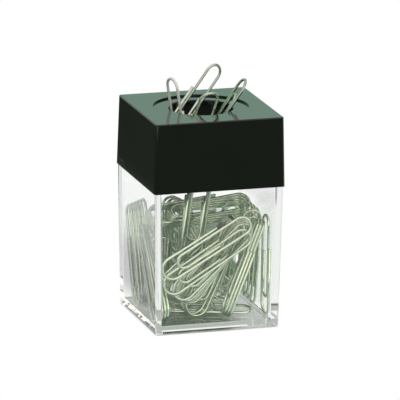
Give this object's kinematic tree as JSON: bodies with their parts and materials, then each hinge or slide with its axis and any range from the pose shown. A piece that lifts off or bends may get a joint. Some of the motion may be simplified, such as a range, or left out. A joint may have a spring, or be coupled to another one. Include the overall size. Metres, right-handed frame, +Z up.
{
  "type": "magnetic paper clip holder",
  "caption": "Square clear container of loose wire clips under a black lift-off cap; a ring magnet round the cap's mouth holds clips upright within reach.",
  "frame": {"origin": "middle of the underside, on the plane of the table", "axes": "+Z up through the mouth, -Y towards the front face"},
  "size_m": [0.043, 0.043, 0.0807],
  "materials": {
    "clear_plastic": "clear polished styrene",
    "black_plastic": "polished moulded black",
    "inner_plastic": "moulded black",
    "ferrite": "sintered, matt",
    "plated_wire": "bright plated drawn wire"
  },
  "bodies": {
    "container": {"container": "clear_plastic", "heap_long_clip": "plated_wire", "heap_steep_clips": "plated_wire", "heap_fan_clips": "plated_wire", "heap_low_clip": "plated_wire", "heap_corner_clips": "plated_wire", "heap_upright_clips": "plated_wire", "heap_right_front_clip": "plated_wire", "heap_right_clips": "plated_wire", "heap_left_clips": "plated_wire", "heap_back_clips": "plated_wire", "heap_core_right_clips": "plated_wire", "heap_core_left_clips": "plated_wire", "heap_core_back_clips": "plated_wire", "heap_top_clips": "plated_wire"},
    "cap": {"cap": "black_plastic", "ring_magnet": "ferrite", "magnet_retainer": "inner_plastic"},
    "mouth_clip_left": {"mouth_clip_left": "plated_wire"},
    "mouth_clip_tall": {"mouth_clip_tall": "plated_wire"},
    "mouth_clip_front": {"mouth_clip_front": "plated_wire"},
    "mouth_clip_right": {"mouth_clip_right": "plated_wire"}
  },
  "joints": [
    {"name": "cap_lift", "type": "slide", "parent": "container", "child": "cap", "axis": [0, 0, 1], "range_m": [0, 0.04]},
    {"name": "mouth_clip_left_pull", "type": "slide", "parent": "cap", "child": "mouth_clip_left", "axis": [-0.1561, -0.0109, 0.9877], "range_m": [0, 0.04]},
    {"name": "mouth_clip_tall_pull", "type": "slide", "parent": "cap", "child": "mouth_clip_tall", "axis": [0.587, 0.0308, 0.809], "range_m": [0, 0.04]},
    {"name": "mouth_clip_front_pull", "type": "slide", "parent": "cap", "child": "mouth_clip_front", "axis": [0.0315, -0.601, 0.7986], "range_m": [0, 0.04]},
    {"name": "mouth_clip_right_pull", "type": "slide", "parent": "cap", "child": "mouth_clip_right", "axis": [0.5261, -0.141, 0.8387], "range_m": [0, 0.04]}
  ]
}
